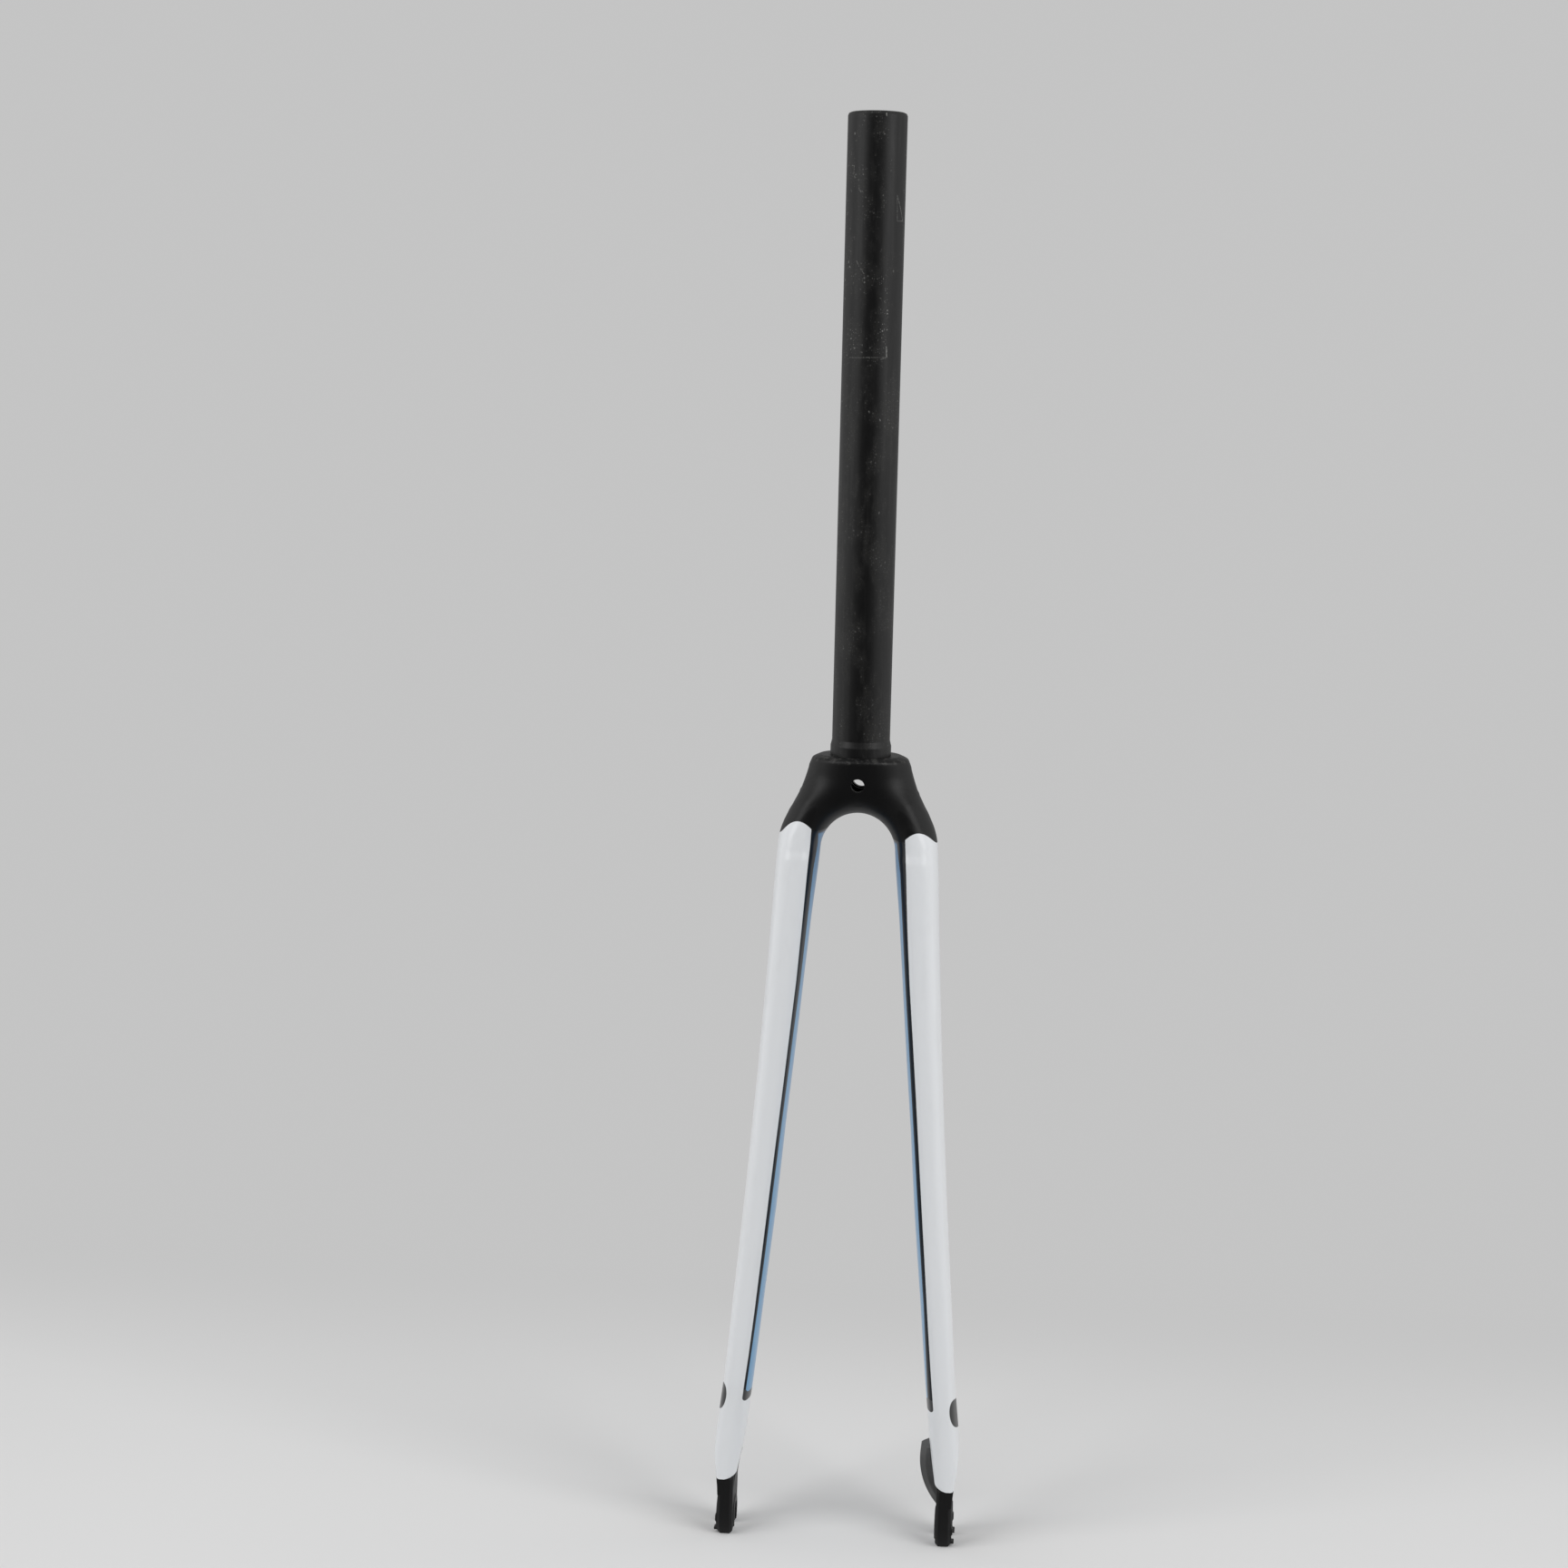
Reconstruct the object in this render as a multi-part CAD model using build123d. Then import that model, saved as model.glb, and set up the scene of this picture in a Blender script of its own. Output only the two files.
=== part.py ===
from build123d import *
import os
from math import cos, radians, sin, tan

os.makedirs("parts", exist_ok=True)

# A rigid road fork in millimetres. The origin is on the steerer's axis at the crown shoulder,
# +Z runs up the steerer, +X is the rider's left and -Y is the front.

# Steerer: an uncut 1 1/8 inch tube with a 30 mm crown race seat and a bonded root.
steerer_d = 28.6
steerer_wall = 2.4
steerer_length = 309.0
steerer_edge = 1.6
race_seat_d = 30.0
race_seat_height = 4.6
race_lead_height = 3.0
root_d = 27.6
root_depth = 21.0
bond_gap = 0.1

# Crown: an oval shoulder over an arch that clears the tyre.
shoulder_width = 47.6
shoulder_depth = 37.6
shoulder_flat_width = 40.0
shoulder_flat_depth = 32.6
shoulder_dome = 1.9
shoulder_turn = 38.0
flare_width = 59.4
flare_depth = 34.6
flare_z = -18.5
crown_depth = 35.0
crown_turn = 48.0
arch_top_z = -29.2
arch_radius = 18.6
brake_hole_z = -13.3
brake_hole_d = 6.6
brake_nut_d = 9.8
brake_root_gap = 0.6

# Blades: hollow, straight in side view and leaning forward, slightly bowed in front view.
blade_top_z = -56.0
blade_waist_z = -268.0
blade_tip_z = -332.0
blade_foot_z = -343.0
blade_width_top = 21.2
blade_width_waist = 15.4
blade_width_tip = 15.9
blade_depth_top = 36.0
blade_depth_tip = 25.0
blade_bow = 0.30
blade_wall = 2.0
blade_turn = 21.0
blade_steps = 6
fall_share = 0.57
rake = 40.0
rake_start_z = -20.0

# Dropouts: 100 mm between the hub faces, open axle slots, tangs bonded into the blades.
axle_z = -380.0
hub_spacing = 100.0
hub_face_d = 16.0
hub_face_height = 0.6
plate_thickness = 7.7
plate_edge = 1.4
slot_width = 9.2
tip_drop = 8.6
eye_radius = 12.4
neck_rise = 22.0
neck_drop = 10.0
joint_z = -353.3
joint_slope = 26.0
rim_height = 0.4
rim_width = 3.2
lip_height = 1.6
lip_drop = 5.6
bump_height = 3.2
tang_width = 5.2
tang_depth = 15.0
tang_length = 26.0
tang_gap = 0.2

# Sensor cover on the inner face of the rider's left blade.
cover_top_z = -341.5
cover_clear = 0.5
cover_stand = 8.6
cover_bulge = 3.6
cover_run = 13.0
cover_set_back = 3.5
cover_edge = 3.0
plug_width = 5.0
plug_height = 7.0
plug_gap = 0.1

blade_x_top = arch_radius + 0.6 + blade_width_top / 2
plate_x = hub_spacing / 2 + hub_face_height
plate_mid_x = plate_x + plate_thickness / 2
neck_z = axle_z + neck_rise


def lean(z):
    """The blade's y at a height: a straight line from the crown to the axle."""
    return -rake * (rake_start_z - z) / (rake_start_z - axle_z)


def oval(plane, width, depth, turn):
    """A closed outline of four tangent arcs; the side arcs turn by turn degrees, and less is flatter."""
    a = width / 2
    b = depth / 2
    t = radians(turn)
    k = 1 / tan(t / 2)
    end_r = (a * k - b) / (k - 1)
    side_r = end_r + (b - end_r) / sin(t)
    x = a - side_r + side_r * cos(t)
    y = side_r * sin(t)
    sides = [ThreePointArc((x, -y), (a, 0), (x, y)), ThreePointArc((-x, y), (-a, 0), (-x, -y))]
    ends = [ThreePointArc((x, y), (0, b), (-x, y)), ThreePointArc((-x, -y), (0, -b), (x, -y))]
    return plane * make_face(sides + ends)


def across(x, z, turn):
    """A plane across the fork's spine: turn 90 cuts the left blade, 0 the crown, -90 the right."""
    a = radians(turn)
    return Plane(origin=(x, lean(z), z), x_dir=(sin(a), 0, cos(a)), z_dir=(cos(a), 0, -sin(a)))


def between(z, z_a, z_b, a, b):
    """The value at a height on a straight line from a at z_a to b at z_b."""
    return a + (b - a) * (z - z_a) / (z_b - z_a)


def leg_x(z):
    """The x of the left leg's bowed axis, which runs straight down below the blade's foot."""
    share = min(1.0, between(z, blade_top_z, blade_foot_z, 0.0, 1.0))
    run = (1 - blade_bow) * share + blade_bow * share**2
    return blade_x_top + run * (plate_mid_x - blade_x_top)


def blade_size(z):
    """A blade's width and depth: it narrows to its waist and then swells a little to its tip."""
    width = between(z, blade_top_z, blade_waist_z, blade_width_top, blade_width_waist)
    if z < blade_waist_z:
        width = between(z, blade_waist_z, blade_tip_z, blade_width_waist, blade_width_tip)
    return width, between(z, blade_top_z, blade_tip_z, blade_depth_top, blade_depth_tip)


def leg_plane(z, hand=1):
    """A plane square to a leg's axis; hand 1 is the left leg and -1 the right."""
    down = Vector(hand * (leg_x(z - 1) - leg_x(z)), lean(z - 1) - lean(z), -1)
    return Plane(origin=(hand * leg_x(z), lean(z), z), x_dir=(hand, 0, 0), z_dir=down * hand)


def blade_section(z, hand=1):
    """A blade's outline at a height, an oval."""
    width, depth = blade_size(z)
    return oval(leg_plane(z, hand), width, depth, blade_turn)


def hollow_section(z):
    """The left blade's hollow at a height, a rounded slot inside the wall."""
    width, depth = [size - 2 * blade_wall for size in blade_size(z)]
    return leg_plane(z) * RectangleRounded(width, depth, 0.46 * width)


def heights(steps, end_z):
    """Evenly spaced heights from the blade's top down to end_z."""
    return [between(k, 0, steps, blade_top_z, end_z) for k in range(steps + 1)]


# Crown arch: one loft over the tyre from blade top to blade top, its inner edge on a circle.
crown_height = -arch_top_z - 3.6
arch_rows = [(0.0, 0.0, crown_height), (32.0, 31.0, crown_height), (53.0, 62.0, 0.98 * blade_width_top)]
arch_rows += [(75.0, 80.0, blade_width_top), (91.0, 88.0, blade_width_top)]
run_over = [oval(across(0, arch_top_z + crown_height / 2, 0), crown_height, crown_depth - 1.6, crown_turn)]
for hand in (1, -1):
    half = []
    for row, steps in enumerate((2, 3, 2, 1)):
        for step in range(1, steps + 1):
            ends = zip(arch_rows[row], arch_rows[row + 1])
            phi, turn, thickness = [between(step, 0, steps, a, b) for a, b in ends]
            p = radians(phi)
            t = radians(turn)
            x = arch_radius * sin(p) + thickness / 2 * sin(t)
            z = arch_top_z - arch_radius * (1 - cos(p)) + thickness / 2 * cos(t)
            flatness = between(phi, 0, arch_rows[-1][0], crown_turn, blade_turn)
            half.append(oval(across(hand * x, z, hand * turn), thickness, crown_depth, flatness))
    half += [blade_section(z, hand) for z in (blade_top_z + 5.0, blade_top_z)]
    run_over = run_over + half if hand == 1 else half[::-1] + run_over
arch = loft(run_over, ruled=True)

# Crown core: the oval shoulder under the crown race, flaring down into the arch.
core_rows = [(-shoulder_dome, shoulder_width, shoulder_depth)]
core_rows.append((flare_z / 2, (shoulder_width + flare_width) / 2, (shoulder_depth + flare_depth) / 2))
core_rows.append((flare_z, flare_width, flare_depth))
core_rows.append((arch_top_z + 4.6, flare_width + 1.0, crown_depth - 9.0))
level = Plane(origin=(0, 0, 0), x_dir=(0, 1, 0), z_dir=(0, 0, 1))
core = loft([oval(level.offset(z), d, w, shoulder_turn) for z, w, d in core_rows])
cap_foot = oval(level.offset(-shoulder_dome), shoulder_depth, shoulder_width, shoulder_turn)
cap_top = oval(level, shoulder_flat_depth, shoulder_flat_width, shoulder_turn)
core += loft([cap_foot, cap_top], ruled=True)

# Crown and blades: the two lofts with both blades, hollowed, socketed and drilled.
joint = Plane(
    origin=(plate_mid_x, lean(joint_z), joint_z),
    x_dir=(1, 0, 0),
    z_dir=(0, -sin(radians(joint_slope)), cos(radians(joint_slope))),
)


def fall_edge(side):
    """One edge of the blade's end seen from the front: two tangent arcs falling to the plate."""
    high = (leg_x(blade_tip_z) + side * (blade_width_tip / 2 + 0.4), blade_tip_z)
    bend_z = between(fall_share, 0, 1, blade_tip_z, neck_z - neck_drop)
    bend = (plate_mid_x + side * (blade_width_tip + plate_thickness) / 4, bend_z)
    low = (plate_mid_x + side * plate_thickness / 2, neck_z - neck_drop)
    upper = TangentArc(high, bend, tangent=(leg_x(blade_tip_z - 1) - leg_x(blade_tip_z), -1))
    return [upper, TangentArc(bend, low, tangent=upper % 1)]


fall_edges = fall_edge(-1) + fall_edge(1)
corners = [fall_edges[0] @ 0, fall_edges[2] @ 0]
rise = Vector(leg_x(blade_tip_z + 6) - leg_x(blade_tip_z), 6)
fall_ends = [Polyline(corners[0], corners[0] + rise, corners[1] + rise, corners[1])]
fall_ends.append(Line(fall_edges[1] @ 1, fall_edges[3] @ 1))
front = Plane(origin=(0, lean(neck_z), 0), x_dir=(1, 0, 0), z_dir=(0, -1, 0))
front_profile = extrude(front * make_face(fall_edges + fall_ends), blade_depth_top, both=True)
bar = extrude(blade_section(blade_tip_z), 2 * (blade_tip_z - neck_z), dir=leg_plane(blade_tip_z).z_dir)
tip = bar & front_profile
blade = loft([blade_section(z) for z in heights(blade_steps, blade_tip_z)], ruled=True)
blade += split(tip, bisect_by=joint, keep=Keep.TOP)
tang_plane = Plane(
    origin=(plate_mid_x - 0.3, lean(joint_z), joint_z),
    x_dir=(1, 0, 0),
    z_dir=(0, rake, rake_start_z - axle_z),
)
pocket_outline = RectangleRounded(tang_width + 2 * tang_gap, tang_depth + 2 * tang_gap, tang_width * 0.4)
pocket = extrude(tang_plane * pocket_outline, tang_length + tang_gap, both=True)
hollow = loft([hollow_section(z) for z in heights(2, joint_z + tang_length - 2.0)], ruled=True)
left_blade = blade - hollow - pocket

plug_centre = (plate_mid_x - 6.0, lean(cover_top_z - 5.0), cover_top_z - 5.0)
plug_plane = Plane(origin=plug_centre, x_dir=(0, 1, 0), z_dir=(1, 0, 0))
plug_bar = extrude(plug_plane * RectangleRounded(plug_width, plug_height, 1.5), 6.0, both=True)
plug_outline = RectangleRounded(plug_width + 2 * plug_gap, plug_height + 2 * plug_gap, 1.6)
plug_hole = extrude(plug_plane * plug_outline, 6.0, both=True)
plug = plug_bar & left_blade
right_blade = mirror(left_blade, about=Plane.YZ)
left_blade = left_blade - plug_hole

crown = arch + core
crown -= Pos(0, 0, -root_depth / 2) * Cylinder(root_d / 2 + bond_gap, root_depth)
hole_plane = Plane(origin=(0, 0, brake_hole_z), x_dir=(1, 0, 0), z_dir=(0, 1, 0))
crown -= extrude(hole_plane * Circle(brake_hole_d / 2), -shoulder_depth)
crown -= extrude(hole_plane * Circle(brake_nut_d / 2), shoulder_depth)
crown_and_blades = crown + left_blade + right_blade

# Steerer tube: turned profile, bored through, its root drilled for the brake bolt.
bore_r = steerer_d / 2 - steerer_wall
seat_top = race_seat_height + race_lead_height
profile = Polyline(
    (bore_r, -root_depth),
    (root_d / 2, -root_depth),
    (root_d / 2, 0),
    (race_seat_d / 2, 0),
    (race_seat_d / 2, race_seat_height),
    (steerer_d / 2, seat_top),
    (steerer_d / 2, steerer_length - steerer_edge),
    (steerer_d / 2 - 0.3 * steerer_edge, steerer_length - 0.3 * steerer_edge),
    (steerer_d / 2 - steerer_edge, steerer_length),
    (bore_r, steerer_length),
    close=True,
)
steerer_tube = revolve(Plane.XZ * make_face(profile), Axis.Z)
steerer_tube -= extrude(hole_plane * Circle(brake_nut_d / 2 + brake_root_gap), root_d, both=True)

# Left dropout: a forged plate with an open slot, blended up into the blade and tanged into it.
side = Plane(origin=(0, 0, 0), x_dir=(0, 1, 0), z_dir=(1, 0, 0))
axle_y = lean(axle_z)
eye = Pos(axle_y, axle_z) * Circle(eye_radius)
neck = Pos(lean(neck_z), neck_z) * Circle(blade_depth_tip / 2 - 0.3)
outline = make_hull(eye.edges() + neck.edges())
outline -= Pos(axle_y, axle_z - tip_drop - eye_radius) * Rectangle(4 * eye_radius, 2 * eye_radius)
slot = Pos(axle_y, axle_z) * Circle(slot_width / 2)
slot += Pos(axle_y, axle_z - eye_radius) * Rectangle(slot_width, 2 * eye_radius)
plate = extrude(side.offset(plate_x) * outline, plate_thickness)
plate_faces = plate.faces().sort_by(Axis.X)
plate = chamfer(plate_faces[0].edges() + plate_faces[-1].edges(), plate_edge)
hub_face = Pos(axle_y, axle_z) * Circle(hub_face_d / 2)
plate += extrude(side.offset(plate_x - hub_face_height) * hub_face, hub_face_height + plate_edge)
rim_r = eye_radius - plate_edge - 0.1
rim = Pos(axle_y, axle_z) * (Circle(rim_r) - Circle(rim_r - rim_width))
rim -= Pos(axle_y, axle_z - tip_drop + plate_edge - eye_radius) * Rectangle(4 * eye_radius, 2 * eye_radius)
low = Pos(axle_y, axle_z - lip_drop - eye_radius) * Rectangle(4 * eye_radius, 2 * eye_radius)
outer_x = plate_x + plate_thickness
plate += extrude(side.offset(outer_x - plate_edge) * rim, rim_height + plate_edge)
plate += extrude(side.offset(outer_x - plate_edge) * (rim & low), lip_height + plate_edge)
band = Pos(axle_y, axle_z) * Rectangle(4 * eye_radius, bump_height)
plate += extrude(side.offset(outer_x - plate_edge) * (rim & band), 2.2 * rim_height + plate_edge)
plate -= extrude(side.offset(plate_x - 2.0) * slot, plate_thickness + 8.0)
tang_outline = RectangleRounded(tang_width, tang_depth, tang_width * 0.35)
tang = extrude(tang_plane * tang_outline, tang_length, both=True)
left_dropout = split(plate + tip, bisect_by=joint, keep=Keep.BOTTOM)
left_dropout += split(tang, bisect_by=joint, keep=Keep.TOP)
right_dropout = mirror(left_dropout, about=Plane.YZ)

# Sensor cover: a fin on the inner face, shaped to the blade and held by its plug.
end_z = axle_z + hub_face_d / 2 + cover_clear
mid_z = (cover_top_z + end_z) / 2
fin_x = plate_x - cover_stand
with BuildLine() as fin_edge:
    inner = ThreePointArc(
        (fin_x, cover_top_z),
        ((fin_x + plate_x) / 2 - cover_bulge, mid_z),
        (plate_x, end_z),
    )
    Polyline(inner @ 1, (plate_mid_x, end_z), (plate_mid_x, cover_top_z + 1.6), inner @ 0)
fin_plane = Plane(origin=(0, lean(mid_z) + cover_set_back, 0), x_dir=(1, 0, 0), z_dir=(0, -1, 0))
fin = extrude(fin_plane * make_face(fin_edge.line), cover_run / 2, both=True)
fin = chamfer(fin.edges().filter_by(GeomType.CIRCLE), cover_edge)
sensor_cover = fin - blade - tip - left_dropout + plug

export_step(steerer_tube, "parts/steerer_tube.step")
export_step(crown_and_blades, "parts/crown_and_blades.step")
export_step(left_dropout, "parts/left_dropout.step")
export_step(right_dropout, "parts/right_dropout.step")
export_step(sensor_cover, "parts/sensor_cover.step")
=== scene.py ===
import math

import bmesh
import bpy
import numpy as np
from mathutils import Matrix, Vector
from mathutils.bvhtree import BVHTree


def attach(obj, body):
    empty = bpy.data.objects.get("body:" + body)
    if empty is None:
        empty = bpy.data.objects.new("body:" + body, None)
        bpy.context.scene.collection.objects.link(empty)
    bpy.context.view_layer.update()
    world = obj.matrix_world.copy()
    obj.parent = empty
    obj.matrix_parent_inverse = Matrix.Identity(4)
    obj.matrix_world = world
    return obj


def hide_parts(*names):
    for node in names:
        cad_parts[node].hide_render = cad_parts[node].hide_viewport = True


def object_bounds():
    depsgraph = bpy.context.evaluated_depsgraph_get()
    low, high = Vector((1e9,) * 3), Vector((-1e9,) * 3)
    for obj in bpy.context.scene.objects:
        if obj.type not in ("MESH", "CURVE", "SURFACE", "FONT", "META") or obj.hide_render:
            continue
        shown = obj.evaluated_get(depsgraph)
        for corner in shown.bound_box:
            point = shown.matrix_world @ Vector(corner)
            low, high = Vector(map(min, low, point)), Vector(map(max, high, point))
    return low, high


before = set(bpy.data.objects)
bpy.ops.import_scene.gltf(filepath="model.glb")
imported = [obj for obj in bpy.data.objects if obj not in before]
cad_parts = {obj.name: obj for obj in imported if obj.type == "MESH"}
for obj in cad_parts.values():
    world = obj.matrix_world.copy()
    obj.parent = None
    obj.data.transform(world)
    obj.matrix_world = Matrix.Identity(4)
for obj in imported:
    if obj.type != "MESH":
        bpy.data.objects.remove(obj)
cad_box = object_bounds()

# Steerer tube. The real one is a turned, straight tube with a wider seat at its foot for the
# headset race. It is left bare and matt, and is rubbed and nicked from having been fitted once.
# Its shape is right in the frame, so it only gets a finish here.

tube_radius = 14.3
bare_grey = (0.0036, 0.0036, 0.0037, 1.0)
rubbed_grey = (0.0132, 0.0130, 0.0125, 1.0)
nick_grey = (0.22, 0.22, 0.21, 1.0)


class Shade:
    """A material's tree with one of its sockets, so that sums on values read as Python."""

    def __init__(self, tree, socket=None):
        self.tree = tree
        self.socket = socket

    def node(self, kind, settings=None, inputs=None, output=0):
        """Adds a node: its settings first, then the values or links of its sockets."""
        made = self.tree.nodes.new(kind)
        for name, value in (settings or {}).items():
            setattr(made, name, value)
        for name, value in (inputs or {}).items():
            if isinstance(value, Shade):
                self.tree.links.new(value.socket, made.inputs[name])
            else:
                made.inputs[name].default_value = value
        return Shade(self.tree, made.outputs[output])

    def math(self, operation, first, second=0.0):
        return self.node("ShaderNodeMath", {"operation": operation}, {0: first, 1: second})

    def __add__(self, other):
        return self.math("ADD", self, other)

    def __radd__(self, other):
        return self.math("ADD", other, self)

    def __sub__(self, other):
        return self.math("SUBTRACT", self, other)

    def __rsub__(self, other):
        return self.math("SUBTRACT", other, self)

    def __mul__(self, other):
        return self.math("MULTIPLY", self, other)

    def __rmul__(self, other):
        return self.math("MULTIPLY", other, self)

    def __truediv__(self, other):
        return self.math("DIVIDE", self, other)

    def __rtruediv__(self, other):
        return self.math("DIVIDE", other, self)

    def least(self, other):
        return self.math("MINIMUM", self, other)

    def most(self, other):
        return self.math("MAXIMUM", self, other)

    def root(self):
        return self.math("SQRT", self)

    def fade(self, start, end):
        """Goes smoothly from 0 at start to 1 at end, which may be below start."""
        ends = {"Value": self, "From Min": start, "From Max": end}
        return self.node("ShaderNodeMapRange", {"interpolation_type": "SMOOTHSTEP"}, ends)

    def band(self, start, full, waning, end):
        """Rises from 0 at start to 1 at full, and falls from 1 at waning to 0 at end."""
        return self.fade(start, full) * self.fade(end, waning)

    def blend(self, colour, other):
        """A colour mixed towards the other by this value."""
        return self.node("ShaderNodeMix", {"data_type": "RGBA"}, {0: self, 6: colour, 7: other}, 2)

    def parts(self, scale=1000.0):
        """The x, y and z of this vector, in millimetres where it is a place."""
        split = self.node("ShaderNodeSeparateXYZ", None, {0: self}).socket.node
        return [Shade(self.tree, out) * scale for out in split.outputs]

    def place(self):
        """Where a point of the surface lies, in metres."""
        return self.node("ShaderNodeTexCoord", output="Object")

    def grain(self, per_metre, detail, roughness, upright=1.0):
        """Noise about 0.5, with so many lumps to the metre; upright below 1 draws them out in z."""
        drawn = {"Vector": self.place(), "Scale": (1.0, 1.0, upright)}
        lumps = {"Scale": per_metre, "Detail": detail, "Roughness": roughness}
        lumps["Vector"] = self.node("ShaderNodeMapping", None, drawn)
        return self.node("ShaderNodeTexNoise", None, lumps)

    def specks(self, per_metre, reach, share):
        """Sparse round dots: so many cells to the metre, of which a share holds a dot."""
        at = {"Vector": self.place(), "Scale": per_metre}
        cells = self.node("ShaderNodeTexVoronoi", {"feature": "F1"}, at).socket.node
        near = Shade(self.tree, cells.outputs["Distance"])
        pick = Shade(self.tree, cells.outputs["Color"])
        chosen = self.node("ShaderNodeSeparateColor", None, {0: pick}).fade(share, share * 0.8)
        return near.fade(reach, reach * 0.6) * chosen

    def bump(self, strength, distance, height):
        """Fine relief for a shader's Normal."""
        relief = {"Strength": strength, "Distance": distance, "Height": height}
        return self.node("ShaderNodeBump", None, relief)


def finish(name, **constants):
    """A new material, its shader with constants set, and a Shade to build the rest with."""
    material = bpy.data.materials.new(name)
    material.use_nodes = True
    shader = material.node_tree.nodes["Principled BSDF"]
    for socket, value in constants.items():
        shader.inputs[socket.replace("_", " ")].default_value = value
    return material, shader, Shade(material.node_tree)


def wire(shader, **links):
    """Links sockets that vary over the surface."""
    for socket, value in links.items():
        value.tree.links.new(value.socket, shader.inputs[socket.replace("_", " ")])


bare_tube, tube_shader, tube = finish("bare_tube", Specular_IOR_Level=0.24)
x, y, z = tube.place().parts()
around = tube.math("ARCTAN2", x, y * -1.0) * tube_radius


def scratch(ends, half_width):
    """One straight nick on the tube, between two points given round the tube and up it."""
    (a, b), (c, d) = ends
    length = math.dist((a, b), (c, d))
    run_x = (c - a) / length
    run_z = (d - b) / length
    along = ((around - a) * run_x + (z - b) * run_z).most(0.0).least(length)
    off_x = around - a - along * run_x
    off_z = z - b - along * run_z
    return (off_x * off_x + off_z * off_z).fade((1.7 * half_width) ** 2, (0.4 * half_width) ** 2)


# The nicks' ends are millimetres round the tube from its front and up from the crown. The first
# is the brightest, and each of the others has its ends, its half width and its strength.
nicks = scratch(((8.3, 199.0), (8.5, 194.2)), 0.21)
for ends, half_width, strength in (
    (((-11.0, 193.4), (8.5, 193.8)), 0.17, 0.34),
    (((5.4, 192.8), (8.3, 193.8)), 0.16, 0.38),
    (((12.3, 270.1), (17.6, 258.3)), 0.14, 0.62),
    (((12.3, 270.1), (12.8, 258.0)), 0.14, 0.50),
    (((12.8, 258.0), (17.6, 258.3)), 0.12, 0.42),
    (((-11.3, 298.7), (-11.3, 298.1)), 0.26, 0.75),
    (((5.0, 307.6), (5.1, 306.6)), 0.24, 0.80),
    (((-12.6, 283.6), (-10.9, 283.2)), 0.18, 0.45),
    (((-11.1, 283.0), (-11.4, 279.6)), 0.17, 0.42),
    (((-10.6, 278.4), (-10.3, 277.8)), 0.24, 0.55),
    (((-13.2, 272.4), (-12.5, 271.4)), 0.20, 0.48),
    (((-7.6, 272.2), (-6.6, 271.4)), 0.26, 0.48),
    (((-8.0, 239.0), (-6.6, 236.4)), 0.17, 0.36),
    (((-5.2, 234.9), (-3.9, 233.0)), 0.17, 0.36),
    (((0.4, 168.2), (0.7, 167.5)), 0.24, 0.60),
    (((5.9, 164.4), (6.1, 163.7)), 0.24, 0.60),
    (((6.9, 120.2), (6.9, 119.4)), 0.22, 0.55),
):
    nicks = nicks.most(scratch(ends, half_width) * strength)

dot_strength = 0.68
dust_strength = 0.18
seat_strength = 0.2
top_strength = 0.45

cloud = tube.grain(75.0, 6.0, 0.66, upright=0.45)
smear = tube.grain(330.0, 4.0, 0.65, upright=0.05)
dust = tube.grain(1500.0, 2.0, 0.7)
patchy = cloud.fade(0.45, 0.62)
ring_specks = z.band(229.5, 230.4, 231.2, 232.1) * around.band(-2.5, -0.5, 7.0, 9.0)
cluster = around.band(3.2, 4.6, 7.8, 9.4) * z.band(196.0, 203.0, 226.0, 234.0)
upper = z.fade(140.0, 230.0) * 0.55 + 0.30
worn = (patchy * upper + cluster * 0.9 + ring_specks).least(1.0)
dots = tube.specks(520.0, 0.26, 0.34).most(tube.specks(1100.0, 0.30, 0.40) * 0.75)
broken = dust.fade(0.42, 0.58) * 0.80 + 0.20
marks = (nicks * broken).most(dots * worn * dot_strength)
marks = marks.most(dust.fade(0.58, 0.76) * patchy * dust_strength)
rubbed = (patchy * 0.75 + smear.fade(0.44, 0.70) * 0.55 - 0.10).most(0.0).least(1.0)
seat_wear = z.band(-1.0, 1.0, 6.0, 9.0) * cloud.fade(0.40, 0.60) * seat_strength
# The top end is lighter: partly wear, partly a painted highlight of its rounded rim.
top_wear_and_highlight = z.fade(304.5, 308.6) * top_strength
grey = rubbed.most(seat_wear).most(top_wear_and_highlight).blend(bare_grey, rubbed_grey)
wire(
    tube_shader,
    Base_Color=marks.blend(grey, nick_grey),
    Roughness=0.31 + cloud * 0.36 - smear * 0.10 - nicks * 0.05,
    Normal=tube.bump(0.25, 0.00012, nicks * -1.0 + dust * 0.12),
)
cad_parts["steerer_tube"].data.materials[0] = bare_tube

# Crown and blades. The real piece is one hollow moulding of fibre in resin: two oval blades that
# run up over the tyre as an arch, blended into an oval shoulder that takes the steerer's foot.
# It is painted black on the crown and white on the blades, with a striped inner face.

metre = 0.001
rake = 40.0
lean_start = -20.0
axle_height = -380.0
arch_radius = 18.6
arch_top = -29.2
arch_top_depth = 33.4
crown_height = 25.6
crown_depth = 35.0
blade_top = -56.0
blade_waist = -268.0
blade_tip = -332.0
blade_foot = -343.0
blade_width = (21.2, 15.4, 15.9)
blade_depth = (36.0, 25.0)
leg_start = 29.8
leg_bow = 0.3
plate_middle = 54.45
form_foot = -368.0
joint_height = -353.3
joint_tilt = math.radians(26.0)
sharp_from = math.radians(48.0)
ring_points = 216


def lean(height):
    """Where a leg's axis lies in y at a height, on a straight line forward to the axle."""
    return rake * (height - lean_start) / (lean_start - axle_height)


def leg_x(height):
    """How far out a leg's middle lies at a height, on its bowed line seen from the front."""
    share = np.minimum(1.0, (height - blade_top) / (blade_foot - blade_top))
    return leg_start + ((1 - leg_bow) * share + leg_bow * share**2) * (plate_middle - leg_start)


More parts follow.
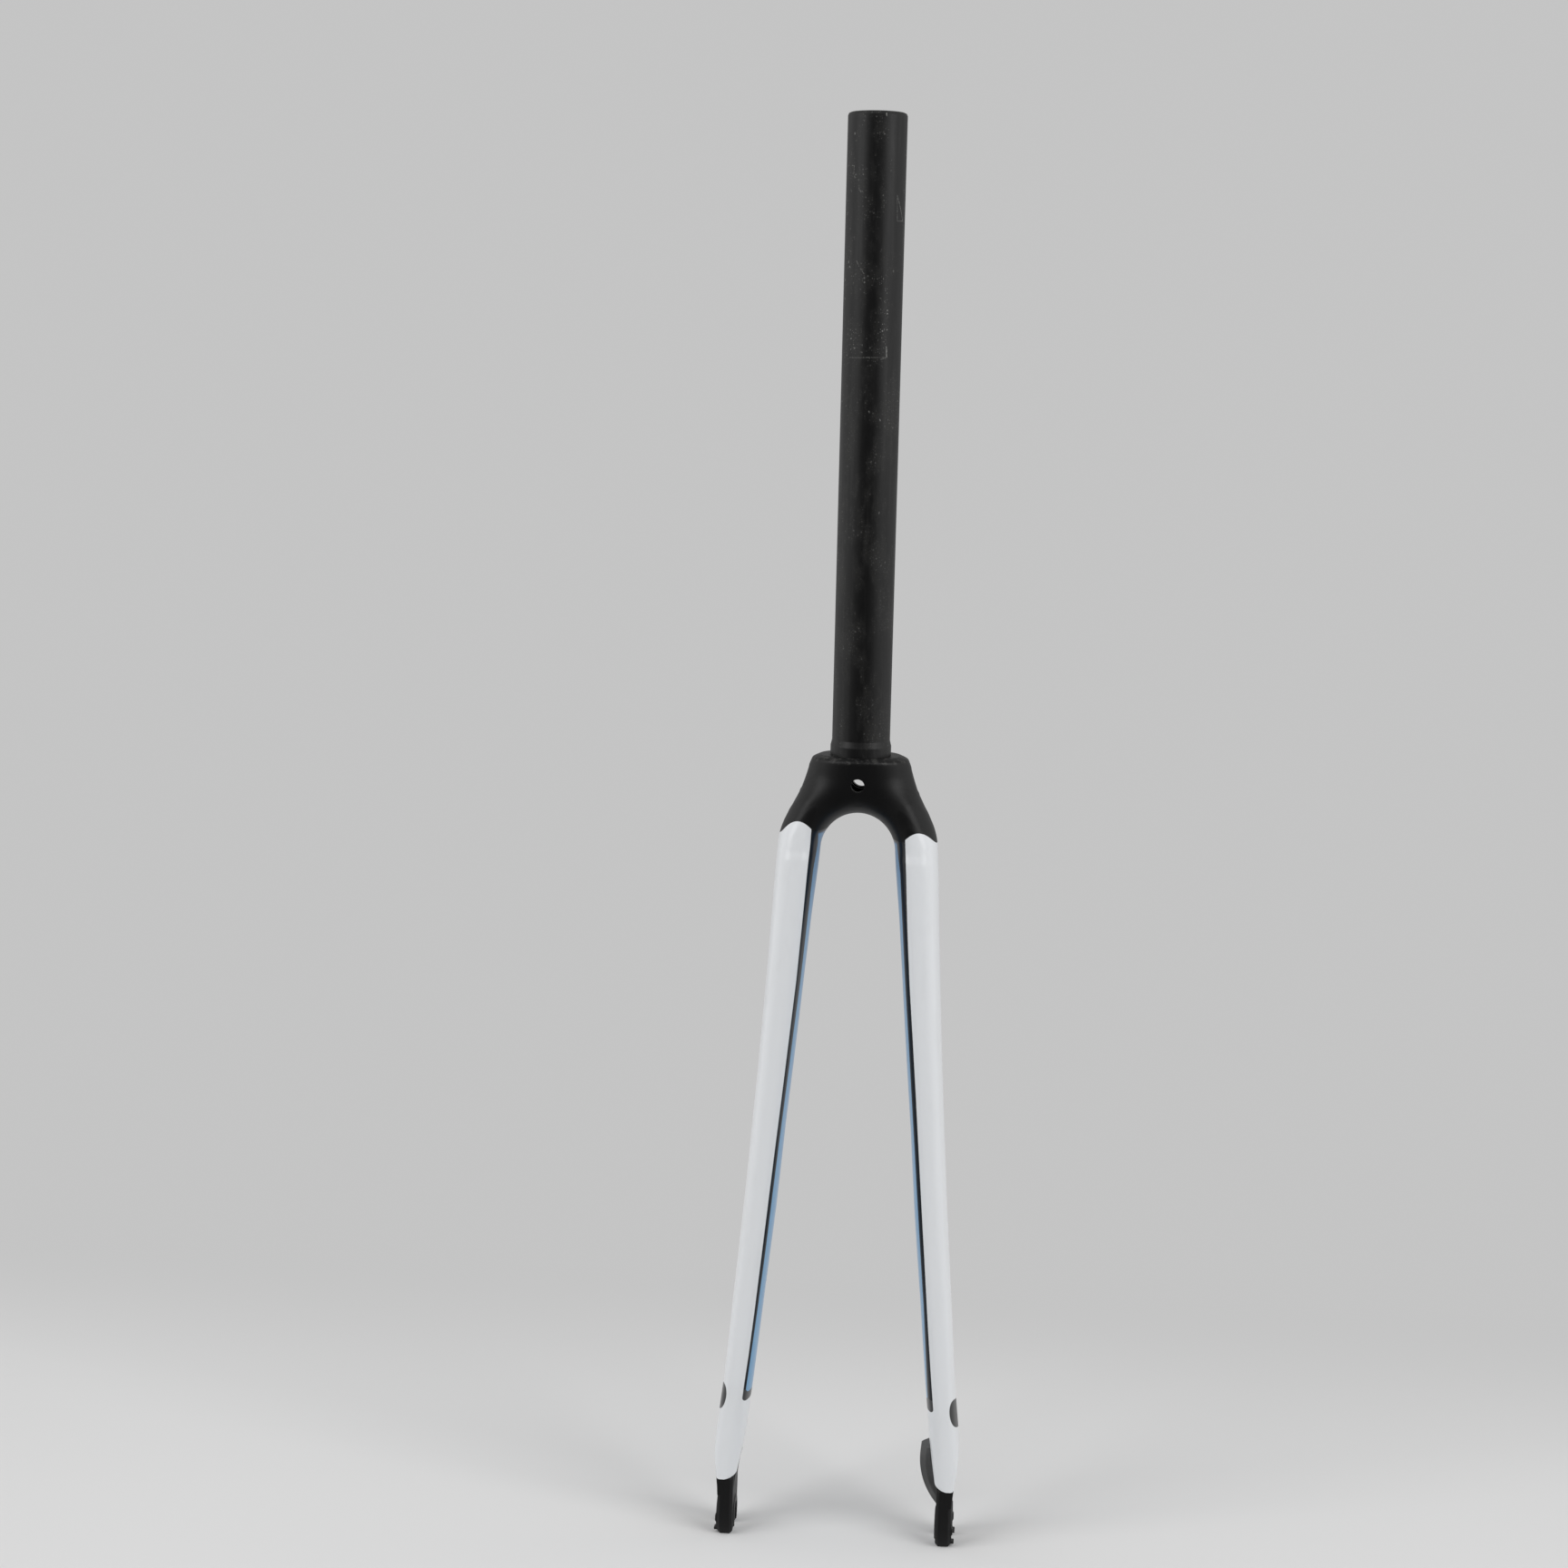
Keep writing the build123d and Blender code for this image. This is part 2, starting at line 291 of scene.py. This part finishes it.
def leg_size(height):
    """A leg's width and depth at a height."""
    width = np.interp(-height, (-blade_top, -blade_waist, -blade_tip), blade_width)
    return width, np.interp(-height, (-blade_top, -blade_tip), blade_depth)


def oval(width, depth, turn):
    """Evenly spaced points of four tangent arcs; its side arcs span the turn to either side."""
    a = width / 2
    b = depth / 2
    t = math.radians(turn)
    k = 1 / math.tan(t / 2)
    end_r = (a * k - b) / (k - 1)
    side_r = end_r + (b - end_r) / math.sin(t)
    side_length = 2 * t * side_r
    end_length = (math.pi - 2 * t) * end_r
    ring = []
    for share in np.arange(ring_points) / ring_points:
        run = share * 2 * (side_length + end_length)
        half = run >= side_length + end_length
        run = run - half * (side_length + end_length)
        if run < side_length:
            angle = run / side_r - t
            point = (a - side_r + side_r * math.cos(angle), side_r * math.sin(angle))
        else:
            angle = (run - side_length) / end_r + t
            point = (end_r * math.cos(angle), b - end_r + end_r * math.sin(angle))
        ring.append((-point[0], -point[1]) if half else point)
    return np.array(ring)


def hermite(height, knots):
    """A smooth curve through knots of height, value and slope per millimetre down."""
    for (z_a, a, slope_a), (z_b, b, slope_b) in zip(knots, knots[1:]):
        if height >= z_b:
            break
    span = z_a - z_b
    s = (z_a - height) / span
    rise = (2 * s**3 - 3 * s**2 + 1) * a + (3 * s**2 - 2 * s**3) * b
    return rise + span * ((s**3 - 2 * s**2 + s) * slope_a + (s**3 - s**2) * slope_b)


# The blades are slimmed a little against their plain ovals: outside near the tip, and inside
# halfway down. The falls are the tip's inner and outer edges, down to the dropout.
tip_slim = 1.1
slim_out_at = (270.0, 312.0)
slim_out_by = (0.0, tip_slim)
slim_in_at = (50.0, 80.0, 110.0, 185.0, 225.0, 265.0)
slim_in_by = (0.0, 0.9, 1.1, 1.1, 0.3, 0.0)
tip_slope = leg_x(blade_tip - 1.0) - leg_x(blade_tip)
tip_inner = leg_x(blade_tip) - blade_width[2] / 2
tip_outer = leg_x(blade_tip) + blade_width[2] / 2 - tip_slim
inner_fall = (
    (blade_tip, tip_inner, tip_slope),
    (-352.5, 48.55, 0.19),
    (-369.0, 50.6, 0.05),
)
outer_fall = (
    (blade_tip, tip_outer, tip_slope),
    (-344.0, 60.85, -0.02),
    (-352.5, 60.0, -0.17),
    (-369.0, 58.3, -0.05),
)

# The arch's rings by their angle from its top: how far each is turned, and how thick it is.
arch_angle = (0, 32, 53, 75, 91)
arch_turn = (0, 31, 62, 80, 88)
arch_thick = (crown_height, crown_height, 20.8, blade_width[0], blade_width[0])
arch_side_turn = 48.0
leg_side_turn = 21.0
shoulder_side_turn = 38.0
even_spread = np.linspace(-9.0, 9.0, 13)
even_until = 80.0
width_gain = 1.004
depth_gain = 1.006


def arch_ring(phi, hand):
    """A ring round the arch at an angle from its top, evened out over its neighbours."""
    nearby = phi + even_spread
    turns = np.sign(nearby) * np.interp(np.abs(nearby), arch_angle, arch_turn)
    turn = turns.mean() if phi < even_until else np.interp(phi, arch_angle, arch_turn)
    thick = float(np.interp(np.abs(nearby), arch_angle, arch_thick).mean())
    depth = float(np.interp(phi, arch_angle[:2], (arch_top_depth, crown_depth)))
    side_turn = float(np.interp(phi, (0, arch_angle[-1]), (arch_side_turn, leg_side_turn)))
    p = math.radians(phi)
    t = math.radians(turn)
    out = arch_radius * math.sin(p) + thick / 2 * math.sin(t)
    up = arch_top - arch_radius * (1 - math.cos(p)) + thick / 2 * math.cos(t)
    ring = oval(thick, depth, side_turn)
    across = hand * (out + ring[:, 0] * math.sin(t))
    return np.column_stack([across, lean(up) - ring[:, 1], up + ring[:, 0] * math.cos(t)])


def leg_ring(height, hand):
    """A level ring round a leg; the gains make up for what smoothing takes off it later."""
    width, depth = leg_size(height)
    ring = oval(float(width) * width_gain, float(depth) * depth_gain, leg_side_turn)
    centre = leg_x(height)
    if height < blade_tip:
        centre = leg_x(blade_tip) + tip_slope * (blade_tip - height)
    outward = ring[:, 0] / ring[:, 0].max()
    slim_out = np.interp(-height, slim_out_at, slim_out_by)
    slim_in = np.interp(-height, slim_in_at, slim_in_by)
    across = centre + ring[:, 0] - slim_out * np.maximum(0.0, outward) ** 2
    across = across + slim_in * np.minimum(0.0, outward) ** 2
    if height < blade_tip:
        across = np.clip(across, hermite(height, inner_fall), hermite(height, outer_fall))
    return np.column_stack([hand * across, lean(height) - ring[:, 1], np.full(ring_points, height)])


def tube_mesh(name, rings):
    """A closed tube through rings of points, capped at both ends."""
    count = len(rings[0])
    points = np.concatenate(rings) * metre
    faces = []
    for row in range(len(rings) - 1):
        for k in range(count):
            a = row * count + k
            b = row * count + (k + 1) % count
            faces.append((a, b, b + count, a + count))
    faces.append(tuple(range(count))[::-1])
    faces.append(tuple(range(len(points) - count, len(points))))
    mesh = bpy.data.meshes.new(name)
    mesh.from_pydata(points.tolist(), [], faces)
    work = bmesh.new()
    work.from_mesh(mesh)
    bmesh.ops.recalc_face_normals(work, faces=work.faces)
    work.to_mesh(mesh)
    work.free()
    return mesh


def shown(name, mesh):
    """An object of a mesh, put in the scene."""
    made = bpy.data.objects.new(name, mesh)
    bpy.context.scene.collection.objects.link(made)
    return made


def settle(made):
    """Makes an object's modifiers part of its mesh."""
    graph = bpy.context.evaluated_depsgraph_get()
    mesh = bpy.data.meshes.new_from_object(made.evaluated_get(graph))
    made.modifiers.clear()
    made.data = mesh


def remesh(made, voxel):
    """Gives an even mesh that follows the object's outside."""
    even = made.modifiers.new("even", "REMESH")
    even.mode = "VOXEL"
    even.voxel_size = voxel
    settle(made)


def points_of(mesh):
    """A mesh's points as rows of x, y and z."""
    points = np.empty(len(mesh.vertices) * 3)
    mesh.vertices.foreach_get("co", points)
    return points.reshape(-1, 3)


def move_points(mesh, points):
    """Puts a mesh's points in new places."""
    mesh.vertices.foreach_set("co", points.ravel())
    mesh.update()


def soften(mesh, passes, push=-0.53, weight=None, axes=(1.0, 1.0, 1.0)):
    """Smooths a mesh by its neighbours; a push after each pull keeps its size."""
    pull = 0.5
    points = points_of(mesh)
    count = len(points)
    ends = np.empty(len(mesh.edges) * 2, dtype=np.int64)
    mesh.edges.foreach_get("vertices", ends)
    a, b = ends.reshape(-1, 2).T
    valence = np.bincount(np.concatenate([a, b]), minlength=count)
    for move in (pull, push) * passes:
        if move == 0.0:
            continue
        total = np.empty_like(points)
        for axis in range(3):
            total[:, axis] = np.bincount(a, points[b, axis], count)
            total[:, axis] += np.bincount(b, points[a, axis], count)
        shift = (total / valence[:, None] - points) * move * axes
        points = points + (shift if weight is None else shift * weight[:, None])
    move_points(mesh, points)


def skin(mesh):
    """A mesh's surface, to find its nearest point."""
    return BVHTree.FromPolygons([v.co for v in mesh.vertices], [p.vertices for p in mesh.polygons])


def seat(mesh, forms, near, far):
    """Brings a smoothed mesh back onto its forms, save what was rounded off by more than far."""
    for vertex in mesh.vertices:
        hits = (form.find_nearest(vertex.co) for form in forms)
        point, _, _, gap = min(hits, key=lambda hit: hit[3])
        hold = min(1.0, max(0.0, (far - gap) / (far - near)))
        vertex.co = vertex.co.lerp(point, hold * hold * (3 - 2 * hold))
    mesh.update()


def hold_in(mesh, node_name):
    """Keeps a mesh inside the box of the node that it stands for."""
    corners = np.array([vertex.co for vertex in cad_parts[node_name].data.vertices])
    move_points(mesh, np.clip(points_of(mesh), corners.min(0), corners.max(0)))


# The legs and the arch are one tube of rings, from one foot to the other.
arch_steps = np.arange(2.0, 90.0, 2.0)
blade_steps = np.arange(-50.5, blade_tip, -1.5)
tip_steps = np.arange(blade_tip, form_foot, -1.0)
half_rings = {}
for hand in (1, -1):
    half_rings[hand] = [arch_ring(phi, hand) for phi in arch_steps]
    half_rings[hand] += [leg_ring(height, hand) for height in blade_steps]
    half_rings[hand] += [leg_ring(height, hand) for height in tip_steps]
leg_form = tube_mesh("leg_form", half_rings[-1][::-1] + [arch_ring(0.0, 1)] + half_rings[1])

# The shoulder's rows are a height, a width and a depth, from its foot to its rounded top edge.
shoulder_rows = (
    (-24.6, 60.4, 26.0),
    (-18.5, 59.4, 34.6),
    (-9.25, 53.5, 36.1),
    (-1.9, 47.6, 37.6),
    (-1.2, 45.4, 36.2),
    (0.0, 40.0, 32.6),
)
shoulder_step = 0.75
row_heights, row_widths, row_depths = zip(*shoulder_rows)
side_heights = np.arange(row_heights[0], row_heights[3], shoulder_step)
core_heights = np.concatenate([side_heights, row_heights[3:]])
core_rings = []
for height in core_heights:
    width = float(np.interp(height, row_heights, row_widths))
    depth = float(np.interp(height, row_heights, row_depths))
    ring = oval(depth, width, shoulder_side_turn)
    core_rings.append(np.column_stack([ring[:, 1], ring[:, 0], np.full(ring_points, height)]))
core_form = tube_mesh("core_form", core_rings)

crown_voxel = 0.0009
crown = shown("crown_and_legs", leg_form.copy())
joined = bmesh.new()
joined.from_mesh(leg_form)
joined.from_mesh(core_form)
joined.to_mesh(crown.data)
joined.free()
remesh(crown, crown_voxel)

# Where legs and shoulder meet, the mesh is smoothed into a wide blend. The rest goes back onto
# its form, and the crown's front and rear are evened out.
blend_foot = -0.045
blend_edge = (-0.0075, -0.0035)
blend_reach = (0.0025, 0.0075)
crown_hold = (0.00008, 0.0003)
even_at = (-0.050, -0.036, -0.009, -0.0035)
front_to_rear = (0.0, 1.0, 0.0)
leg_tree = skin(leg_form)
core_tree = skin(core_form)
near_both = np.zeros(len(crown.data.vertices))
for vertex in crown.data.vertices:
    if vertex.co.z > blend_foot:
        gap = max(leg_tree.find_nearest(vertex.co)[3], core_tree.find_nearest(vertex.co)[3])
        below_edge = np.interp(vertex.co.z, blend_edge, (1.0, 0.0))
        near_both[vertex.index] = below_edge * np.interp(gap, blend_reach, (1.0, 0.0))
soften(crown.data, passes=10)
soften(crown.data, passes=110, push=0.0, weight=near_both)
seat(crown.data, (leg_tree, core_tree), *crown_hold)
soften(crown.data, passes=4)
heights = points_of(crown.data)[:, 2]
on_crown = np.interp(heights, even_at, (0.0, 1.0, 1.0, 0.0))
soften(crown.data, passes=36, push=0.0, weight=on_crown, axes=front_to_rear)
hold_in(crown.data, "crown_and_blades")

hole_height = -13.3
hole_points = 72
cutters = []
for name, radius, start, end in (
    ("front_hole", 3.3, (0, -30, hole_height), (0, 1, hole_height)),
    ("rear_hole", 4.9, (0, 0, hole_height), (0, 30, hole_height)),
    ("socket", 13.9, (0, 0, -21), (0, 0, 4)),
):
    axis = Vector(end) - Vector(start)
    aim = axis.to_track_quat("Z", "Y").to_matrix()
    turns = np.linspace(0, 2 * math.pi, hole_points, endpoint=False)
    flat = [aim @ Vector((radius * math.cos(t), radius * math.sin(t), 0)) for t in turns]
    rings = [np.array([p + Vector(place) for p in flat]) for place in (start, end)]
    cutters.append(shown(name, tube_mesh(name, rings)))
    cut = crown.modifiers.new(name, "BOOLEAN")
    cut.operation = "DIFFERENCE"
    cut.solver = "EXACT"
    cut.object = cutters[-1]
settle(crown)
for cutter in cutters:
    bpy.data.objects.remove(cutter)

# The blades end at a slanting joint with the dropouts.
joint_point = Vector((0, lean(joint_height), joint_height)) * metre
joint_up = Vector((0, -math.sin(joint_tilt), math.cos(joint_tilt)))
trim = bmesh.new()
trim.from_mesh(crown.data)
whole = trim.verts[:] + trim.edges[:] + trim.faces[:]
cut_rim = bmesh.ops.bisect_plane(
    trim, geom=whole, dist=1e-7, plane_co=joint_point, plane_no=joint_up, clear_inner=True
)["geom_cut"]
rim_edges = [part for part in cut_rim if isinstance(part, bmesh.types.BMEdge)]
bmesh.ops.holes_fill(trim, edges=rim_edges, sides=0)
bmesh.ops.triangulate(trim, faces=[face for face in trim.faces if len(face.verts) > 4])
trim.to_mesh(crown.data)
trim.free()
crown.data.shade_smooth()
crown.data.set_sharp_from_angle(angle=sharp_from)

# The mesh carries the paint's edges: how far each point lies inside the black line, the blue and
# the white panel, in millimetres, and how far out it lies as a share of the leg's half width.
points = points_of(crown.data) / metre
point_out = np.abs(points[:, 0])
point_height = points[:, 2]
on_right = points[:, 0] <= 0
half_width = leg_size(point_height)[0] / 2
side = (point_out - leg_x(point_height)) / half_width

# Shares of the half width at depths below the shoulder, for the right leg and then the left.
line_at = (43, 56, 83, 110, 137, 164, 191, 218, 245, 272, 298, 312)
line_front = (
    (0.62, 0.60, 0.61, 0.62, 0.59, 0.57, 0.55, 0.55, 0.57, 0.60, 0.59, 0.56),
    (0.44, 0.43, 0.46, 0.46, 0.42, 0.40, 0.41, 0.43, 0.46, 0.52, 0.54, 0.54),
)
line_back = (
    (0.93, 0.84, 0.81, 0.80, 0.76, 0.74, 0.72, 0.73, 0.76, 0.77, 0.73, 0.71),
    (0.86, 0.72, 0.71, 0.70, 0.66, 0.65, 0.65, 0.67, 0.70, 0.74, 0.82, 0.88),
)


def inside_edge(shares):
    """How far inside an edge of the stripe each point lies, in millimetres."""
    right, left = (np.interp(-point_height, line_at, row) for row in shares)
    return (-np.where(on_right, right, left) - side) * half_width


# The panel's upper edge is a round arc in front that levels out on the outer face.
panel_level = 9.2
panel_curve = 0.088
panel_inner_reach = -7.5
least_drop = 0.001
panel_x = np.where(on_right, 28.5, 30.4)
panel_z = np.where(on_right, -31.8, -35.5)
panel_drop = panel_curve * np.maximum(point_out - panel_x, panel_inner_reach) ** 2
panel_drop = np.maximum(panel_drop, least_drop)
panel_top = panel_z - (panel_drop**-4 + panel_level**-4) ** -0.25
carried = {
    "line_edge": inside_edge(line_front),
    "blue_edge": inside_edge(line_back),
    "panel_edge": panel_top - point_height,
    "outer_share": side,
}
for name, values in carried.items():
    layer = crown.data.attributes.new(name, "FLOAT", "POINT")
    layer.data.foreach_set("value", values)

crown_black = (0.0034, 0.0034, 0.0035, 1.0)
worn_black = (0.045, 0.044, 0.042, 1.0)
panel_white = (0.670, 0.685, 0.703, 1.0)
panel_soiled = (0.595, 0.605, 0.612, 1.0)
line_black = (0.006, 0.007, 0.010, 1.0)
stripe_blue = (0.150, 0.305, 0.480, 1.0)
# The second blue is the stripe's blue in painted shade, for its top under the arch.
arch_shaded_blue = (0.072, 0.190, 0.345, 1.0)
cap_grey = (0.046, 0.046, 0.047, 1.0)

fork_paint, paint_shader, paint = finish("fork_paint", Specular_IOR_Level=0.22, Coat_Roughness=0.12)
x, y, z = paint.place().parts()
line_edge, blue_edge, panel_edge, outer_share = (
    paint.node("ShaderNodeAttribute", {"attribute_name": name}, output="Fac") for name in carried
)
left_leg = x.fade(-1.0, 1.0)
edge_blur = 0.07

# The stripe is black with a blue middle, and its rounded foot is capped in grey.
stripe_foot = -321.05
left_foot_drop = 0.35
stripe_round = 2.2
cap_top = -316.9
cap_round = 1.4
cap_curve = 0.9
blue_top = -38.2
left_blue_drop = 3.6
blue_top_blur = 0.9
foot_in = (line_edge - stripe_round).least(0.0)
foot_rise = (stripe_round**2 - foot_in * foot_in).most(0.0).root() - stripe_round
above_foot = z - stripe_foot + left_leg * left_foot_drop + foot_rise
in_stripe = line_edge.fade(-edge_blur, edge_blur) * above_foot.fade(-edge_blur, edge_blur)
in_panel = panel_edge.fade(-edge_blur, edge_blur)
under_top = (z - blue_top + left_leg * left_blue_drop).fade(blue_top_blur, -blue_top_blur)
in_blue = blue_edge.fade(-edge_blur, edge_blur) * under_top
cap_corner = (cap_round - blue_edge.most(0.0)).most(0.0)
in_cap = (z - cap_top - cap_corner * cap_corner * cap_curve).fade(edge_blur, -edge_blur)

# The plain grey patches low on the outer faces are slanting ovals, lower on the left leg.
patch_out = 6.83
patch_height = -321.7
patch_half_width = 3.2
patch_half_height = 6.7
patch_slant = 0.26
left_patch_drop = 2.4
left_patch_gain = 0.35
leg_half_there = 7.9
patch_in = (patch_out - outer_share * leg_half_there) / patch_half_width
patch_up = z - patch_height + left_leg * left_patch_drop - (lean(z) - y) * patch_slant
patch_up = patch_up / (patch_half_height + left_leg * left_patch_gain)
in_oval = (patch_in * patch_in + patch_up * patch_up).fade(1.02, 0.98)
in_patch = in_oval * outer_share.fade(0.0, 0.1)

soil = paint.grain(90.0, 4.0, 0.6, upright=0.3)
fleck = paint.grain(1500.0, 2.0, 0.6)
rub = paint.grain(420.0, 4.0, 0.65)
white = (soil.fade(0.50, 0.78) * 0.35).blend(panel_white, panel_soiled)
shoulder_rub = z.band(-3.6, -1.6, -0.2, 0.4) * rub.fade(0.50, 0.64)
black_wear = (shoulder_rub * 0.75).most(fleck.fade(0.70, 0.80) * 0.18)
black = black_wear.blend(crown_black, worn_black)
# The blue darkens towards the crown: painted shade from the arch.
blue = z.fade(-85.0, -45.0).blend(stripe_blue, arch_shaded_blue)
stripe = in_cap.blend(in_blue.blend(line_black, blue), cap_grey)
blade = in_patch.blend(in_stripe.blend(white, stripe), cap_grey)
glossy = in_panel * (1.0 - in_patch * 0.5)
relief = in_stripe * in_panel * 0.6 + rub * (0.5 - in_panel * 0.5)
wire(
    paint_shader,
    Base_Color=in_panel.blend(black, blade),
    Roughness=0.41 + rub * 0.06 - glossy * 0.14,
    Coat_Weight=glossy * 0.22,
    Normal=paint.bump(0.12, 0.0001, relief),
)
crown.data.materials.clear()
crown.data.materials.append(fork_paint)
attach(crown, "root")
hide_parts("crown_and_blades")

# Dropouts. Each is a forged light alloy tip with a tang bonded into its blade, an open slot
# for the axle, a raised face for the hub and a rim with two lips outside for the wheel's nut.
# They are satin black, with the forging's corners softened by the finish.

dropout_black = (0.0050, 0.0050, 0.0051, 1.0)
bare_edge = (0.07, 0.07, 0.068, 1.0)
dropout_voxel = 0.00036
face_hold = (0.00004, 0.00012)
flush_above = -0.364

satin_black, satin_shader, satin = finish("satin_black", Specular_IOR_Level=0.24)
x, y, z = satin.place().parts()
pores = satin.grain(2400.0, 2.0, 0.6)
scuff = satin.grain(330.0, 4.0, 0.65)
sideways = satin.math("ABSOLUTE", x)
axle_y = y + rake
axle_z = z - axle_height
from_axle = (axle_y * axle_y + axle_z * axle_z).root()
clamp_faces = sideways.fade(51.6, 50.9).most(sideways.fade(57.4, 58.2))
clamp_wear = from_axle.fade(9.4, 8.2) * clamp_faces * scuff.fade(0.50, 0.62) * 0.35
satin_wear = clamp_wear.most(scuff.fade(0.68, 0.76) * 0.22)
wire(
    satin_shader,
    Base_Color=satin_wear.blend(dropout_black, bare_edge),
    Roughness=0.40 + scuff * 0.12,
    Normal=satin.bump(0.15, 0.00008, pores),
)


def rounded_copy(name, node_name, voxel, passes, push, last_passes):
    """A copy of a node as an even mesh, with its edges rounded and its faces left in place."""
    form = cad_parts[node_name].data.copy()
    weld = bmesh.new()
    weld.from_mesh(form)
    bmesh.ops.remove_doubles(weld, verts=weld.verts, dist=1e-6)
    weld.to_mesh(form)
    weld.free()
    made = shown(name, form)
    form_skin = skin(form)
    remesh(made, voxel)
    soften(made.data, passes, push)
    seat(made.data, (form_skin,), *face_hold)
    soften(made.data, last_passes)
    return made


for name, node_name in (("left_tip", "left_dropout"), ("right_tip", "right_dropout")):
    dropout = rounded_copy(name, node_name, dropout_voxel, passes=12, push=-0.53, last_passes=5)
    for vertex in dropout.data.vertices:
        if vertex.co.z > flush_above:
            reach = hermite(vertex.co.z / metre, outer_fall) * metre
            vertex.co.x = min(reach, max(-reach, vertex.co.x))
    hold_in(dropout.data, node_name)
    dropout.data.shade_smooth()
    dropout.data.materials.clear()
    dropout.data.materials.append(satin_black)
    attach(dropout, "root")
    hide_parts(node_name)

# Sensor cover. A moulded plastic fin that fills the opening for a speed sensor in the left
# blade. It is pressed into place with a plug, and has rounded edges and a fine matt grain.

cover_grey = (0.056, 0.056, 0.0565, 1.0)
cover_light = (0.098, 0.098, 0.099, 1.0)
cover_voxel = 0.00030

matt_cover, cover_shader, cover = finish("matt_cover", Specular_IOR_Level=0.40)
texture = cover.grain(1700.0, 3.0, 0.6)
haze = cover.grain(120.0, 3.0, 0.5, upright=0.5)
lighter = haze.fade(0.40, 0.70) * 0.7 + texture.fade(0.55, 0.75) * 0.3
wire(
    cover_shader,
    Base_Color=lighter.blend(cover_grey, cover_light),
    Roughness=0.46 + texture * 0.14,
    Normal=cover.bump(0.22, 0.0001, texture),
)
fin = rounded_copy("sensor_fin", "sensor_cover", cover_voxel, passes=26, push=-0.52, last_passes=6)
hold_in(fin.data, "sensor_cover")
fin.data.shade_smooth()
fin.data.materials.clear()
fin.data.materials.append(matt_cover)
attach(fin, "root")
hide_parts("sensor_cover")

# Studio. A pale floor that fades into an even pale ground behind and far off, in a light room
# whose front is dark, with two soft lamps high at the sides, and a camera a little above the
# crown. The floor's front half is painted dark for glossy rays alone: a painted reflection,
# as dark as the room's front.

pale = (0.555, 0.555, 0.555, 1.0)
floor_grey = (0.70, 0.70, 0.70, 1.0)
floor_reflection_dark = (0.12, 0.12, 0.12, 1.0)
floor_level = cad_box[0].z
floor_reach = 1.25
floor_corners = 96
fade_far = (300.0, 1150.0)
fade_behind = (70.0, 330.0)
dark_in_front = (50.0, -250.0)

floor_turns = np.linspace(0, 2 * math.pi, floor_corners, endpoint=False)
floor_rim = [
    (floor_reach * math.cos(turn), floor_reach * math.sin(turn), floor_level) for turn in floor_turns
]
floor_mesh = bpy.data.meshes.new("floor")
floor_mesh.from_pydata(floor_rim, [], [tuple(range(floor_corners))])
floor = shown("floor", floor_mesh)
paper, paper_shader, sheet = finish("paper", Roughness=0.9, Specular_IOR_Level=0.1)
x, y, _ = sheet.place().parts()
# Glossy rays see the floor's front half dark: a painted dark reflection.
painted_dark_reflection = sheet.node("ShaderNodeLightPath", output="Is Glossy Ray") * y.fade(*dark_in_front)
wire(paper_shader, Base_Color=painted_dark_reflection.blend(floor_grey, floor_reflection_dark))
away = (x * x + y * y).root().fade(*fade_far).most(y.fade(*fade_behind))
seen = sheet.node("ShaderNodeLightPath", output="Is Camera Ray")
glow = sheet.node("ShaderNodeEmission", None, {"Color": pale, "Strength": 1.0})
lit = Shade(paper.node_tree, paper_shader.outputs[0])
both = sheet.node("ShaderNodeMixShader", None, {0: away * seen, 1: lit, 2: glow})
paper.node_tree.links.new(both.socket, paper.node_tree.nodes["Material Output"].inputs["Surface"])
floor_mesh.materials.append(paper)

room_light = (1.15, 1.15, 1.15, 1.0)
room_back = (0.45, 0.45, 0.45, 1.0)
room_dark = (0.03, 0.03, 0.03, 1.0)
ceiling = (0.50, 0.50, 0.50, 1.0)
world = bpy.data.worlds.new("studio")
bpy.context.scene.world = world
world.use_nodes = True
sky = Shade(world.node_tree)
x, y, z = sky.node("ShaderNodeTexCoord").parts(1.0)
frontward = y * -1.0 / (x * x + y * y + 0.0001).root()
dark = frontward.fade(0.30, 0.75) * z.fade(0.60, 0.25)
walls = frontward.fade(-0.25, -0.80).blend(room_light, room_back)
room = dark.blend(z.fade(0.45, 0.75).blend(walls, ceiling), room_dark)
seen = sky.node("ShaderNodeLightPath", output="Is Camera Ray")
back = world.node_tree.nodes["Background"]
world.node_tree.links.new(seen.blend(room, pale).socket, back.inputs["Color"])

lamp_size = (1.1, 1.5)
lamp_aim = Vector((0, 0, -0.1))
for name, place, power in (
    ("left_lamp", (-1.38, -0.98, 0.85), 16.0),
    ("right_lamp", (1.46, -0.98, 0.85), 17.8),
):
    lamp = bpy.data.lights.new(name, "AREA")
    lamp.shape = "RECTANGLE"
    lamp.size = lamp_size[0]
    lamp.size_y = lamp_size[1]
    lamp.energy = power
    stand = bpy.data.objects.new(name, lamp)
    stand.location = place
    stand.rotation_euler = (lamp_aim - Vector(place)).to_track_quat("-Z", "Y").to_euler()
    bpy.context.scene.collection.objects.link(stand)

eye_place = Vector((0.0839, -1.3291, 0.1909))
sight = Vector((-0.0900, 0.9841, -0.1534)).normalized()
upward = Vector((-0.0368, 0.1507, 0.9879))
rightward = sight.cross(upward).normalized()
upward = rightward.cross(sight)
lens = bpy.data.cameras.new("camera")
lens.sensor_width = 36.0
lens.lens = 62.5
lens.clip_end = 50.0
eye = bpy.data.objects.new("camera", lens)
eye_turn = Matrix((rightward, upward, -sight)).transposed()
eye.matrix_world = Matrix.Translation(eye_place) @ eye_turn.to_4x4()
bpy.context.scene.collection.objects.link(eye)
bpy.context.scene.camera = eye
bpy.context.scene.view_settings.view_transform = "Standard"
